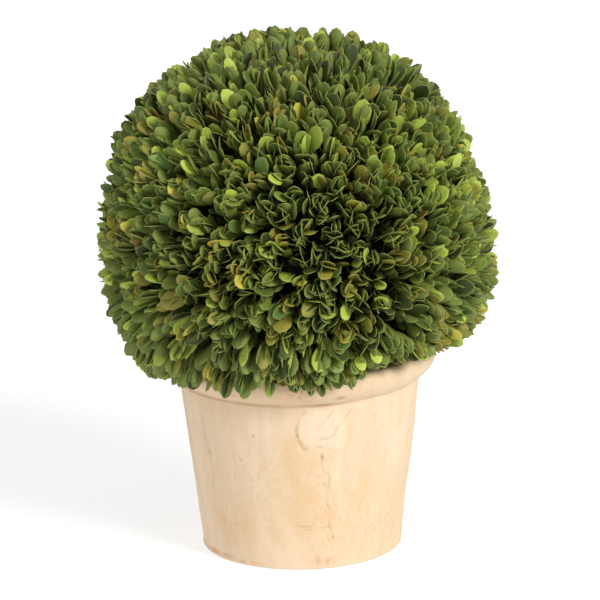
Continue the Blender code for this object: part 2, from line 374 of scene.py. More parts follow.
# Dirt in the groove: its width, and its least, its extra, and the extra's angle and width in degrees
GROOVE_DIRT_WIDTH = 0.0009
GROOVE_DIRT = (0.1, 0.5, 9.0, 15.0)

# Cracks come and go in patches: middle strength, swing, wavelength, seed, least strength
CRACK_PATCHES = (0.6, 0.4, 0.011, 67, 0.15)
ARC_PATCHES = (0.7, 0.4, 0.012, 68, 0.2)


def unit(vectors):
    """Vectors scaled to length one."""
    return vectors / np.linalg.norm(vectors, axis=-1, keepdims=True)


def dot(first, second):
    """Row by row dot products, kept as a column."""
    return (first * second).sum(axis=-1, keepdims=True)


def smooth_step(low, high, values):
    """0 below low, 1 above high and a smooth rise between them."""
    share = np.clip((values - low) / (high - low), 0.0, 1.0)
    return share * share * (3.0 - 2.0 * share)


def fade(gaps, width):
    """1 where there is no gap, falling smoothly to almost 0 at two widths."""
    return np.exp(-((gaps / width) ** 2))


def waves(points, wavelength, seed):
    """Smooth seeded noise of about unit size, a sum of plane waves of one wavelength."""
    rng = np.random.default_rng(seed)
    headings = unit(rng.normal(size=(WAVE_COUNT, 3)))
    phases = rng.uniform(0.0, 2.0 * math.pi, WAVE_COUNT)
    angles = points @ headings.T * (2.0 * math.pi / wavelength) + phases
    return np.sin(angles).sum(axis=-1) * math.sqrt(2.0 / WAVE_COUNT)


def layered(points, layers):
    """The sum of several waves, each given by its height, wavelength and seed."""
    return sum(height * waves(points, wavelength, seed) for height, wavelength, seed in layers)


def patchy(points, middle, swing, wavelength, seed, least):
    """A strength of at most 1 that comes and goes over the points."""
    return np.clip(middle + swing * waves(points, wavelength, seed), least, 1.0)


def even_angles(count):
    """Angles in equal steps all the way round."""
    return np.linspace(0.0, 2.0 * math.pi, count, endpoint=False)


def direction_at(round_degrees, up_degrees):
    """The unit vector so far round from +X and so far above level."""
    turn = math.radians(round_degrees)
    rise = math.radians(up_degrees)
    return np.array([math.cos(rise) * math.cos(turn), math.cos(rise) * math.sin(turn), math.sin(rise)])


def raised(values, directions, areas, width_degrees):
    """Values by direction, raised by round areas of (degrees round, degrees up, rise) with soft edges."""
    for round_degrees, up_degrees, rise in areas:
        away = np.arccos(np.clip(directions @ direction_at(round_degrees, up_degrees), -1.0, 1.0))
        values = values + rise * fade(away, math.radians(width_degrees))
    return values


def srgb(red, green, blue):
    """The linear colour of an sRGB one given from 0 to 255."""
    shares = [value / 255.0 for value in (red, green, blue)]
    linear = [share / 12.92 if share <= 0.04045 else ((share + 0.055) / 1.055) ** 2.4 for share in shares]
    return (*linear, 1.0)


class Material:
    """A Principled material that is built up node by node."""

    def __init__(self, name, colour, roughness):
        """Starts with a plain colour and roughness, which stay under any nodes that feed them."""
        self.made = bpy.data.materials.new(name)
        self.made.use_nodes = True
        self.tree = self.made.node_tree
        self.shader = self.tree.nodes["Principled BSDF"]
        self.shader.inputs["Base Color"].default_value = colour
        self.shader.inputs["Roughness"].default_value = roughness
        self.coordinates = None

    def put(self, kind, **values):
        """Adds a node and sets or links its inputs by name."""
        node = self.tree.nodes.new("ShaderNode" + kind)
        for name, value in values.items():
            self.feed(node.inputs[name.replace("_", " ")], value)
        return node

    def feed(self, socket, value):
        """Links an output to a socket, or sets the socket's own value."""
        if isinstance(value, bpy.types.NodeSocket):
            self.tree.links.new(value, socket)
        else:
            socket.default_value = value

    def noise(self, scale, stretch=(1.0, 1.0, 1.0), detail=3.0, low=0.35, high=0.65):
        """A noise from 0 to 1 over the object, stretched where its factor is small."""
        if self.coordinates is None:
            self.coordinates = self.put("TexCoord").outputs["Object"]
        mapping = self.put("Mapping", Vector=self.coordinates, Scale=stretch)
        texture = self.put("TexNoise", Vector=mapping.outputs["Vector"], Scale=scale, Detail=detail)
        return self.spread(texture.outputs["Fac"], low, high)

    def spread(self, value, low, high, to_low=0.0, to_high=1.0):
        """Maps a range of a value onto another one."""
        ends = dict(From_Min=low, From_Max=high, To_Min=to_low, To_Max=to_high)
        return self.put("MapRange", Value=value, **ends).outputs["Result"]

    def attribute(self, name):
        """A number that the mesh holds at each point."""
        node = self.put("Attribute")
        node.attribute_name = name
        return node.outputs["Fac"]

    def worked_out(self, operation, first, second):
        """The product or the sum of two numbers."""
        node = self.put("Math")
        node.operation = operation
        self.feed(node.inputs[0], first)
        self.feed(node.inputs[1], second)
        return node.outputs[0]

    def times(self, first, second):
        """The product of two numbers."""
        return self.worked_out("MULTIPLY", first, second)

    def mix(self, share, first, second, blend="MIX"):
        """A blend of two colours."""
        node = self.put("Mix")
        node.data_type = "RGBA"
        node.blend_type = blend
        self.feed(node.inputs["Factor"], share)
        self.feed(node.inputs[6], first)
        self.feed(node.inputs[7], second)
        return node.outputs[2]

    def colour(self, value):
        """Feeds the base colour."""
        self.feed(self.shader.inputs["Base Color"], value)

    def bump(self, height, distance, strength):
        """Feeds the normal with a bump."""
        node = self.put("Bump", Height=height, Distance=distance, Strength=strength)
        self.tree.links.new(node.outputs["Normal"], self.shader.inputs["Normal"])


def linked(name, data):
    """A new object in the scene that shows this data."""
    made = bpy.data.objects.new(name, data)
    bpy.context.scene.collection.objects.link(made)
    return made


def mesh_object(name, points, corners, sizes, materials, slots=None):
    """An object from arrays: points, the corners of all faces one after another, and each face's size."""
    mesh = bpy.data.meshes.new(name)
    mesh.vertices.add(len(points))
    mesh.vertices.foreach_set("co", np.ascontiguousarray(points, np.float32).ravel())
    mesh.loops.add(len(corners))
    mesh.loops.foreach_set("vertex_index", np.ascontiguousarray(corners, np.int32))
    mesh.polygons.add(len(sizes))
    starts = np.concatenate([[0], np.cumsum(sizes)[:-1]])
    mesh.polygons.foreach_set("loop_start", starts.astype(np.int32))
    for material in materials:
        mesh.materials.append(material)
    if slots is not None:
        mesh.polygons.foreach_set("material_index", np.ascontiguousarray(slots, np.int32))
    mesh.polygons.foreach_set("use_smooth", np.full(len(sizes), True))
    mesh.update(calc_edges=True)
    return linked(name, mesh)


def sharpen(made, is_crease):
    """Marks each edge between two crease points as sharp."""
    mesh = made.data
    ends = np.zeros(len(mesh.edges) * 2, np.int32)
    mesh.edges.foreach_get("vertices", ends)
    sharp = is_crease[ends.reshape(-1, 2)].all(axis=1)
    attribute = mesh.attributes.new("sharp_edge", "BOOLEAN", "EDGE")
    attribute.data.foreach_set("value", sharp)


def repeated(corners, count, points_each):
    """The corners of many copies of one mesh, the points numbered on from copy to copy."""
    return (corners[None, :] + (np.arange(count) * points_each)[:, None]).ravel()


def wall_faces(rows, around):
    """Each face's corners in a wall of rings, its points numbered ring by ring."""
    row, column = np.meshgrid(np.arange(rows - 1), np.arange(around), indexing="ij")
    after = (column + 1) % around
    here = row * around
    above = (row + 1) * around
    return np.stack([here + column, above + column, above + after, here + after], axis=-1).reshape(-1, 4)


def grid_object(name, rings, materials):
    """An object from rings of points, each closed and joined to the next, with both ends closed."""
    rows, around = rings.shape[:2]
    points = np.concatenate([rings.reshape(-1, 3), rings[:1].mean(axis=1), rings[-1:].mean(axis=1)])
    walls = wall_faces(rows, around)
    first_end = rows * around
    last_ring = first_end - around
    here = np.arange(around)
    there = (here + 1) % around
    head = np.stack([np.full(around, first_end), here, there], axis=-1)
    tail = np.stack([np.full(around, first_end + 1), last_ring + there, last_ring + here], axis=-1)
    corners = np.concatenate([walls.ravel(), head.ravel(), tail.ravel()])
    sizes = np.concatenate([np.full(len(walls), 4), np.full(2 * around, 3)])
    return mesh_object(name, points, corners, sizes, materials)


def turned_rings(profile, angles):
    """Rings of points: a profile of (radius, height) turned about Z to each angle."""
    radii = profile[:, 0][:, None]
    heights = np.broadcast_to(profile[:, 1][:, None], (len(profile), len(angles)))
    return np.stack([radii * np.sin(angles), -radii * np.cos(angles), heights], axis=-1)


def arc(centre, radii, start_degrees, end_degrees, points):
    """Points of a round or oval arc in the plane of radius and height, both ends included."""
    angles = np.radians(np.linspace(start_degrees, end_degrees, points))
    return [(centre[0] + radii[0] * math.cos(a), centre[1] + radii[1] * math.sin(a)) for a in angles]


def pot_radius(height):
    """The pot's outer radius below its rim, a straight taper."""
    return POT_BASE_RADIUS + (POT_NECK_RADIUS - POT_BASE_RADIUS) * height / POT_NECK_HEIGHT


def pot_reach(height):
    """How far from the axis nothing may grow at each height, none above the pot's lip."""
    beside = np.where(height > POT_NECK_HEIGHT, RIM_RADIUS, pot_radius(height)) + POT_MARGIN
    return np.where(height > POT_HEIGHT + POT_MARGIN, 0.0, beside)


def clears_pot(points):
    """For each row of points, whether they all stay outside the pot and out of its mouth."""
    across = np.hypot(points[..., 0], points[..., 1])
    return (across >= pot_reach(points[..., 2])).all(axis=-1)


def clipped_radius(offsets):
    """How far the clipped outline is from the crown's middle in the direction of each offset from it."""
    return raised(CROWN_RADIUS, unit(offsets), BULGES, BULGE_WIDTH_DEGREES)


def reach_along(points, along, inset):
    """How far it is from each point along its direction to the clipped outline, less an inset."""
    offset = points - CROWN_CENTRE
    lead = dot(offset, along)[:, 0]
    reach = np.zeros(len(points))
    for _ in range(REACH_ROUNDS):
        radius = clipped_radius(offset + along * reach[:, None]) - inset
        reach = np.sqrt(np.maximum(0.0, lead ** 2 + radius ** 2 - dot(offset, offset)[:, 0])) - lead
    return reach


def reach_in_box(points, along):
    """How far it is from each point along its direction to the sides of the CAD's box, less a margin."""
    outward = along > 0.0
    walls = np.where(outward, np.array(cad_high) - BOX_MARGIN, np.array(cad_low) + BOX_MARGIN)
    slopes = np.where(outward, np.maximum(along, SMALLEST_SLOPE), np.minimum(along, -SMALLEST_SLOPE))
    return ((walls - points) / slopes).min(axis=-1)


def make_sprigs(rng):
    """Sprigs spread evenly over the ball by a golden-angle spiral, leaning, the low ones fanned out."""
    count = SPRIGS + FRINGE_SPRIGS
    index = np.arange(count)
    up = 1.0 - 2.0 * (index + 0.5) / SPRIGS
    up = np.where(index < SPRIGS, up, rng.uniform(*FRINGE_UP, count))
    level = np.sqrt(1.0 - up ** 2)
    turn = GOLDEN_ANGLE * index
    spiral = np.stack([level * np.cos(turn), level * np.sin(turn), up], axis=1)
    directions = unit(spiral + rng.normal(scale=SPRIG_JITTER, size=(count, 3)))
    low = smooth_step(-LOW_START, -LOW_END, -directions[:, 2])
    drift = [waves(directions, DRIFT_WAVELENGTH, SPRIG_SEED + axis) for axis in range(3)]
    lean = DRIFT_LEAN * np.stack(drift, axis=1)
    lean += rng.normal(scale=LEAN_JITTER, size=(count, 3))
    lean *= (1.0 - LOW_STEADIER * low)[:, None]
    lean[:, 2] += UP_LEAN * (1.0 - low) + LOW_FLATTEN * low * np.maximum(0.0, LOW_START - directions[:, 2])
    lean[:, 0] += SIDE_LEAN * (1.0 - low)
    axes = unit(directions + lean)
    depths = rng.uniform(*TIP_DEPTHS, count) - LOW_TIP_RISE * low
    foot = CROWN_CENTRE + directions * TWIG_FOOT_RADIUS
    tip = foot + axes * reach_along(foot, axes, depths)[:, None]
    upward = unit(np.array([0.0, 0.0, 1.0]) - axes * axes[:, 2:3])
    sideways = np.cross(axes, upward)
    low_spin = rng.normal(scale=LOW_SPIN_JITTER, size=count)
    spin = np.where(low > 0.5, low_spin, rng.uniform(0.0, math.pi, count))[:, None]
    first = upward * np.cos(spin) + sideways * np.sin(spin)
    second = np.cross(axes, first)
    along_twig = [foot + (tip - foot) * share for share in np.linspace(0.0, 1.0, TWIG_PROBES)]
    keep = clears_pot(np.stack(along_twig, axis=1))
    sprigs = dict(
        direction=directions, axis=axes, foot=foot, tip=tip, low=low, first=first, second=second,
        mood=rng.normal(size=count), chance=rng.uniform(size=count),
    )
    return {name: values[keep] for name, values in sprigs.items()}


def aim_leaves(sprigs, pair, quarter, sign, rng):
    """The root of one leaf on every sprig, and the ways of its length, its side and its face."""
    depth, spread_degrees, _ = pair
    count = len(sprigs["axis"])
    axis = sprigs["axis"]
    turn_jitter = np.radians(rng.normal(scale=TURN_JITTER_DEGREES, size=count))[:, None]
    turn = quarter * math.pi / 2 + turn_jitter
    way = sign * (sprigs["first"] * np.cos(turn) + sprigs["second"] * np.sin(turn))
    sunk = np.maximum(0.0, depth + rng.normal(scale=DEPTH_JITTER, size=count))[:, None]
    root = sprigs["tip"] - axis * sunk
    spread_degrees = spread_degrees + rng.normal(scale=SPREAD_JITTER_DEGREES, size=count)
    spread = np.radians(spread_degrees)[:, None]
    hang = np.zeros((count, 3))
    hang[:, 2] = -sprigs["low"] * (LOW_HANG - LOW_HANG_TO_LEFT * sprigs["direction"][:, 0])
    along = unit(axis * np.cos(spread) + way * np.sin(spread) + hang)
    face = axis * np.sin(spread) - way * np.cos(spread)
    face = unit(face - along * dot(face, along))
    side = np.cross(face, along)
    twist = np.radians(rng.normal(scale=TWIST_JITTER_DEGREES, size=count))[:, None]
    turned_side = side * np.cos(twist) + face * np.sin(twist)
    turned_face = face * np.cos(twist) - side * np.sin(twist)
    return root, along, turned_side, turned_face


def leaf_lengths(sprigs, root, along, size, rng):
    """How long each leaf grows, cut short by the outline, the CAD's box and the trim over the pot."""
    count = len(root)
    wanted = LEAF_LENGTH * size * np.exp(rng.normal(scale=LEAF_LENGTH_SIGMA, size=count))
    wanted = np.minimum(wanted, LEAF_LONGEST)
    inset = LEAF_INSETS[0] + (LEAF_INSETS[1] - LEAF_INSETS[0]) * rng.uniform(size=count) ** 2
    length = np.minimum(wanted, reach_along(root, along, inset))
    length = np.minimum(length, reach_in_box(root, along))
    trim = TRIM_LEFT + (TRIM_RIGHT - TRIM_LEFT) * smooth_step(*TRIM_TURNS, sprigs["direction"][:, 0])
    falls = np.maximum(-along[:, 2], SMALLEST_SLOPE)
    trimmed = np.minimum(length, (root[:, 2] - trim) / falls)
    return np.where(sprigs["low"] > 0.0, trimmed, length)


def grow_leaf_set(sprigs, pair, quarter, sign, rng):
    """One leaf on every sprig, without those that are missing, come out short or meet the pot."""
    depth, _, size = pair
    count = len(sprigs["axis"])
    root, along, side, face = aim_leaves(sprigs, pair, quarter, sign, rng)
    length = leaf_lengths(sprigs, root, along, size, rng)
    half = length * rng.uniform(LEAF_SLIMMEST, LEAF_BROADEST, count) / 2
    tip = root + along * length[:, None]
    middle = root + along * (LEAF_MIDDLE * length)[:, None]
    edge = side * half[:, None]
    probes = np.stack([tip, middle - edge, middle + edge, (root + middle) / 2], axis=1)
    keep = (length >= LEAF_SHORTEST) & clears_pot(probes) & (rng.uniform(size=count) > MISSING_SHARE)
    grown = dict(
        root=root, along=along, side=side, face=face, length=length, half=half,
        direction=sprigs["direction"], mood=sprigs["mood"], chance=sprigs["chance"],
        depth=np.full(count, depth), own=rng.normal(size=count), own_chance=rng.uniform(size=count),
        fold=rng.uniform(*LEAF_FOLD, count), curl=rng.uniform(*LEAF_CURL, count),
        notched=(rng.uniform(size=count) < NOTCHED_SHARE).astype(float),
    )
    return {name: values[keep] for name, values in grown.items()}


def leaf_pattern(leaf_rows, half_widths, with_margin):
    """One leaf's points and faces, in shares of its length and half width.

    Each point is (along, across, raised), the last in thicknesses. Outer lines run along the edges, inner
    lines and a rib on the upper side, and a keel on the underside. Each face has its kind.
    """
    points = []

    def add(*point):
        """Keeps a point and gives its number."""
        points.append(point)
        return len(points) - 1

    outer, inner, rib, keel = {}, {}, [], []
    for side in (-1, 1):
        outer[side], inner[side] = [], []
        for along, half in zip(leaf_rows, half_widths):
            outer[side].append(add(along, side * half, 0.0))
            if with_margin:
                inner[side].append(add(along, side * (half - min(MARGIN_SHARE, half / 2)), 1.0))
    tips = [add(1.0, 0.0, 0.0)]
    if with_margin:
        tips.append(add(1.0 - MARGIN_SHARE / 3, 0.0, 1.0))
    else:
        inner = outer
    for along in leaf_rows:
        rib.append(add(along, 0.0, 1.0))
        keel.append(add(along, 0.0, -KEEL_DEPTH))
    left, right = [outer[side] + tips[:1] for side in (-1, 1)]
    left_in, right_in = [inner[side] + tips[-1:] for side in (-1, 1)]
    rib += tips[-1:]
    keel += tips[:1]
    quads = []
    for row in range(len(leaf_rows)):
        up = row + 1
        quads += [
            ((left_in[row], left_in[up], rib[up], rib[row]), UPPER),
            ((rib[row], rib[up], right_in[up], right_in[row]), UPPER),
            ((keel[up], left[up], left[row], keel[row]), UNDER),
            ((right[row], right[up], keel[up], keel[row]), UNDER),
            ((left[row], left[up], left_in[up], left_in[row]), EDGE),
            ((right_in[up], right[up], right[row], right_in[row]), EDGE),
        ]
    quads.append(((keel[0], left[0], left_in[0], rib[0]), EDGE))
    quads.append(((right_in[0], right[0], keel[0], rib[0]), EDGE))
    faces = [(list(dict.fromkeys(corners)), kind) for corners, kind in quads]
    faces = [face for face in faces if len(face[0]) > 2]
    crease = np.zeros(len(points), bool)
    crease[rib] = True
    return np.array(points), faces, crease, tips


def leaf_material(name, colour, roughness, gloss):
    """A leaf's plain colour with a fine grain of veins."""
    material = Material(name, colour, roughness)
    material.shader.inputs["Specular IOR Level"].default_value = gloss
    material.bump(material.noise(1400.0, detail=2.0), distance=0.00012, strength=0.5)
    return material.made


def leaf_materials():
    """The materials of the leaves: upper sides, then undersides, then margins."""
    made = []
    for kinds, finish in zip(((*GREENS, *ODD_KINDS), UNDERSIDES, MARGINS), LEAF_FINISHES):
        for name, colour, *_ in kinds:
            made.append(leaf_material("leaf_" + name, srgb(*colour), *finish))
    return made


def deal_colours(leaves):
    """The slot of each leaf's upper side: by its spray, with some odd leaves of their own."""
    directions = leaves["direction"]
    spray, own = leaves["chance"], leaves["own_chance"]
    freshness_and_light = SPRAY_WEIGHT * leaves["mood"] + LEAF_WEIGHT * leaves["own"]
    freshness_and_light += layered(directions, FRESH_LAYERS)
    # Painted light and shade: the right side and the areas in front are made lighter or darker by how the
    # light falls
    regional = raised(directions @ PAINTED_LIGHT_SIDE, directions, TONE_AREAS, TONE_AREA_WIDTH_DEGREES)
    freshness_and_light += regional - DARKER_PER_METRE_DEEP * leaves["depth"]
    freshness_and_light += FLUSH_FRESHNESS * (own > 1.0 - FLUSH_SHARE)
    slots = np.digitize(freshness_and_light, GREEN_STEPS)
    spray_from = own_from = 0.0
    for place, (_, _, spray_share, own_share) in enumerate(ODD_KINDS):
        by_spray = (spray >= spray_from) & (spray < spray_from + spray_share)
        by_own = (own >= own_from) & (own < own_from + own_share)
        slots = np.where(by_spray | by_own, len(GREENS) + place, slots)
        spray_from += spray_share
        own_from += own_share
    return slots


def leaf_slots(leaves):
    """The material slots of each leaf's upper side, underside and margin, warm ones under warm leaves."""
    upper = deal_colours(leaves)
    warm = ((upper >= len(GREENS)) & (upper < len(GREENS) + WARM_KINDS)).astype(int)
    under = len(GREENS) + len(ODD_KINDS) + warm
    return np.stack([upper, under, under + len(UNDERSIDES)], axis=1)


def leaf_piece(name, leaves, pattern, materials):
    """All of these leaves as one joined mesh."""
    points, faces, crease, tips = pattern
    count = len(leaves["length"])
    share = np.broadcast_to(points[:, 0], (count, len(points))).copy()
    notch = 1.0 - NOTCH_DEPTH * leaves["notched"]
    for tip in tips:
        share[:, tip] *= notch
    across = points[:, 1]
    length = leaves["length"][:, None]
    half = leaves["half"][:, None]
    rise = leaves["fold"][:, None] * np.abs(across) * half + points[:, 2] * LEAF_THICKNESS
    rise = rise - leaves["curl"][:, None] * length * share ** 2
    placed = (
        leaves["root"][:, None, :]
        + leaves["along"][:, None, :] * (share * length)[..., None]
        + leaves["side"][:, None, :] * (across * half)[..., None]
        + leaves["face"][:, None, :] * rise[..., None]
    )
    corners = repeated(np.concatenate([face for face, _ in faces]), count, len(points))
    sizes = np.tile([len(face) for face, _ in faces], count)
    slots = leaf_slots(leaves)[:, [kind for _, kind in faces]].ravel()
    made = mesh_object(name, placed.reshape(-1, 3), corners, sizes, materials, slots)
    sharpen(made, np.tile(crease, count))
    return made


def grow_leaves(sprigs, pairs, first_quarter, rng):
    """Every leaf of these pairs on every sprig, each pair a quarter turn from the last."""
    sets = []
    for place, pair in enumerate(pairs):
        for sign in (-1, 1):
            sets.append(grow_leaf_set(sprigs, pair, first_quarter + place, sign, rng))
    return {name: np.concatenate([one[name] for one in sets]) for name in sets[0]}


def make_leaves(sprigs, rng):
    """The crown's leaves: the outer ones in four pieces by quarter of the ball, and the inner ones."""
    materials = leaf_materials()
    leaves = grow_leaves(sprigs, PAIRS, 0, rng)
    azimuths = np.degrees(np.arctan2(leaves["direction"][:, 0], -leaves["direction"][:, 1])) % 360.0
    pattern = leaf_pattern(LEAF_ROWS, LEAF_HALF_WIDTHS, with_margin=True)
    pieces = []
    for quarter, name in enumerate(("front_right", "back_right", "back_left", "front_left")):
        here = azimuths // 90.0 == quarter
        chosen = {key: values[here] for key, values in leaves.items()}
        pieces.append(leaf_piece("leaves_" + name, chosen, pattern, materials))
    inner = grow_leaves(sprigs, INNER_PAIRS, len(PAIRS), rng)
    inner_pattern = leaf_pattern(INNER_LEAF_ROWS, INNER_LEAF_HALF_WIDTHS, with_margin=False)
    pieces.append(leaf_piece("leaves_inner", inner, inner_pattern, materials))
    return pieces


def make_twigs(sprigs, rng):
    """Every sprig's twig, thin and bent with a small pointed bud, joined into one piece."""
    count = len(sprigs["axis"])
    start = sprigs["foot"][:, None, None, :]
    run = (sprigs["tip"] + sprigs["axis"] * TWIG_PAST_TIP - sprigs["foot"])[:, None, None, :]
    shares = np.array(TWIG_SHARES)[None, :, None, None]
    radii = np.array(TWIG_RADII)[None, :, None, None]
    turn = (2.0 * math.pi * np.arange(TWIG_SIDES) / TWIG_SIDES)[None, None, :, None]
    first = sprigs["first"][:, None, None, :]
    second = sprigs["second"][:, None, None, :]
    ring = first * np.cos(turn) + second * np.sin(turn)
    bend = first * (TWIG_BEND * rng.normal(size=count))[:, None, None, None] * np.sin(math.pi * shares)
    points = start + run * shares + ring * radii + bend
    rows = len(TWIG_SHARES)
    walls = wall_faces(rows, TWIG_SIDES)[:, [0, 3, 2, 1]]
    foot_cap = np.arange(TWIG_SIDES)[::-1]
    head_cap = (rows - 1) * TWIG_SIDES + np.arange(TWIG_SIDES)
    corners = np.concatenate([walls.ravel(), foot_cap, head_cap])
    sizes = np.tile([4] * len(walls) + [TWIG_SIDES, TWIG_SIDES], count)
    corners = repeated(corners, count, rows * TWIG_SIDES)
    material = Material("twig_bark", srgb(112, 100, 62), 0.8)
    material.bump(material.noise(900.0, detail=2.0), distance=0.0002, strength=0.6)
    return mesh_object("twigs", points.reshape(-1, 3), corners, sizes, [material.made])


def moss_material(name, plain, dark, light, patch_scale, bump_scale):
    """A rough material of dark and light patches."""
    material = Material(name, srgb(*plain), 0.95)
    material.colour(material.mix(material.noise(patch_scale, detail=4.0), srgb(*dark), srgb(*light)))
    material.bump(material.noise(bump_scale, detail=4.0), distance=0.001, strength=0.8)
    return material.made


def make_core():
    """The mossy ball that the sprigs stand in, its near-black colour painted shade of the crown's inside.
    """
    polar = np.radians(np.linspace(CORE_POLE_DEGREES, 180.0 - CORE_POLE_DEGREES, CORE_RINGS))
    profile = np.stack([np.sin(polar), np.cos(polar)], axis=1)
    rings = turned_rings(profile, even_angles(CORE_AROUND))
    relief = CORE_RELIEF * layered(rings, CORE_LAYERS)
    rings = CROWN_CENTRE + rings * (CORE_RADIUS + relief)[..., None]
    # The core's moss is near-black, darker than the filling's: painted shade inside the crown
    moss = moss_material("moss", (24, 24, 14), (16, 16, 10), (34, 36, 18), 260.0, 420.0)
    return grid_object("crown_core", rings[::-1], [moss])


def stem_radius(height):
    """The stem's radius: a taper with a short flare at its foot."""
    share = (height - FILL_TOP) / (STEM_TOP - FILL_TOP)
    flare = np.maximum(0.0, 1.0 - (height - FILL_TOP) / STEM_FLARE_HEIGHT)
    return STEM_FOOT_RADIUS + (STEM_TOP_RADIUS - STEM_FOOT_RADIUS) * share + STEM_FLARE * flare ** 2


def make_stem():
    """The short stem with the relief of its bark: long ridges and low lumps."""
    heights = np.linspace(STEM_TOP, FILL_TOP + CLEARANCE, STEM_RINGS)
    profile = np.stack([stem_radius(heights), heights], axis=1)
    rings = turned_rings(profile, even_angles(STEM_AROUND))
    stretched = rings * np.array([1.0, 1.0, BARK_STRETCH])
    relief = layered(stretched, BARK_RIDGES) + layered(rings, BARK_LUMPS) - BARK_INSET
    rings = rings + unit(rings * np.array([1.0, 1.0, 0.0])) * relief[..., None]
    material = Material("bark", srgb(120, 96, 66), 0.88)
    ridges = material.noise(700.0, stretch=(1.0, 1.0, 0.2), detail=4.0)
    material.colour(material.mix(ridges, srgb(84, 64, 44), srgb(150, 126, 92)))
    material.bump(ridges, distance=0.0005, strength=0.7)
    return grid_object("stem_bark", rings, [material.made])


def make_filling():
    """What fills the pot, with a lumpy mossy top."""
    slope = (POT_NECK_RADIUS - POT_BASE_RADIUS) / (POT_NECK_HEIGHT - POT_FLOOR)
    bottom = POT_FLOOR + CLEARANCE
    bottom_radius = POT_BASE_RADIUS - POT_WALL - CLEARANCE
    top_radius = bottom_radius + slope * (FILL_TOP - bottom)
    wall_heights = np.linspace(FILL_TOP, bottom, FILL_WALL_RINGS)[1:]
    top = [(top_radius * share, FILL_TOP) for share in np.linspace(0.02, 1.0, FILL_TOP_RINGS)]
    wall = [(bottom_radius + slope * (height - bottom), height) for height in wall_heights]
    floor = [(bottom_radius * share, bottom) for share in np.linspace(0.9, 0.1, FILL_FLOOR_RINGS)]
    rings = turned_rings(np.array(top + wall + floor), even_angles(FILL_AROUND))
    lumps = FILL_RELIEF * layered(rings, FILL_LAYERS) - FILL_INSET
    rings[: len(top) - 1, :, 2] += lumps[: len(top) - 1]
    moss = moss_material("moss_filling", (60, 54, 34), (44, 36, 24), (84, 82, 46), 300.0, 700.0)
    return grid_object("filling_moss", rings, [moss])


def pot_profile():
    """The pot's section from its inner floor over the lip to its underside, and which rows are outside."""
    inner_base = POT_BASE_RADIUS - POT_WALL
    inner_floor = [(share * inner_base, POT_FLOOR) for share in (0.05, 0.4, 0.8, 1.0)]
    wall_radii = np.linspace(inner_base, POT_NECK_RADIUS - POT_WALL, INNER_WALL_ROWS)
    wall_heights = np.linspace(POT_FLOOR, POT_NECK_HEIGHT, INNER_WALL_ROWS)
    inner_wall = list(zip(wall_radii, wall_heights))[1:]
    mouth = [
        (RIM_INNER_RADIUS, RIM_INNER_HEIGHT),
        (RIM_INNER_RADIUS + LIP_EASE[0], POT_HEIGHT - LIP_EASE[1]),
        (RIM_INNER_RADIUS + POT_HEIGHT - RIM_INNER_HEIGHT, POT_HEIGHT),
        (RIM_RADIUS - LIP_ROUND - LIP_FLAT, POT_HEIGHT),
    ]
    lip_centre = (RIM_RADIUS - LIP_ROUND, RIM_WIDEST_HEIGHT)
    lip = arc(lip_centre, (LIP_ROUND, POT_HEIGHT - RIM_WIDEST_HEIGHT), 90.0, 0.0, LIP_POINTS)
    rim_rows = int((RIM_WIDEST_HEIGHT - POT_NECK_HEIGHT) / POT_ROW_HEIGHT)
    rim = []
    for share in np.arange(1, rim_rows + 1) / rim_rows:
        radius = RIM_RADIUS - (RIM_RADIUS - POT_NECK_RADIUS) * share ** RIM_CURVE
        rim.append((radius, RIM_WIDEST_HEIGHT - (RIM_WIDEST_HEIGHT - POT_NECK_HEIGHT) * share))
    groove = []
    for share in (0.25, 0.5, 0.75):
        height = POT_NECK_HEIGHT - GROOVE_WIDTH * share
        groove.append((pot_radius(height) - GROOVE_DEPTH * math.sin(math.pi * share), height))
    side_top = POT_NECK_HEIGHT - GROOVE_WIDTH
    side_rows = int((side_top - FOOT_ROUND) / POT_ROW_HEIGHT)
    side = [(pot_radius(height), height) for height in np.linspace(side_top, FOOT_ROUND, side_rows)]
    foot_centre = (pot_radius(FOOT_ROUND) - FOOT_ROUND, FOOT_ROUND)
    foot = arc(foot_centre, (FOOT_ROUND, FOOT_ROUND), 0.0, -90.0, FOOT_POINTS)[1:]
    underside = [(share * (POT_BASE_RADIUS - FOOT_ROUND), 0.0) for share in (0.8, 0.4, 0.05)]
    inside = inner_floor + inner_wall + mouth
    outside = lip + rim + groove + side
    profile = np.array(inside + outside + foot + underside)
    return profile, len(inside), len(inside) + len(outside)


def pot_angles():
    """Angles round the pot, fine in front where the photograph shows it and coarse behind."""
    edge = POT_FRONT_DEGREES
    fine = int(2 * edge / POT_FRONT_STEP_DEGREES)
    coarse = int((360.0 - 2 * edge) / POT_BACK_STEP_DEGREES)
    front = np.linspace(-edge, edge, fine, endpoint=False)
    back = np.linspace(edge, 360.0 - edge, coarse, endpoint=False)
    return np.concatenate([front, back])


def turn_between(first_degrees, second_degrees):
    """The signed turn from one angle to another, at most half a turn either way."""
    return (first_degrees - second_degrees + 180.0) % 360.0 - 180.0


def distance_to_paths(degrees, height, radius, paths):
    """How far each point of the pot's outside is from the nearest of some paths of (degrees, height)."""
    nearest = np.full(np.shape(degrees), 1.0)
    for start, end in [pair for path in paths for pair in zip(path, path[1:])]:
        across = np.radians(turn_between(degrees, start[0])) * radius
        rise = height - start[1]
        run_across = math.radians(end[0] - start[0]) * POT_NECK_RADIUS
        run_rise = end[1] - start[1]
        share = (across * run_across + rise * run_rise) / (run_across ** 2 + run_rise ** 2)
        share = np.clip(share, 0.0, 1.0)
        nearest = np.minimum(nearest, np.hypot(across - share * run_across, rise - share * run_rise))
    return nearest


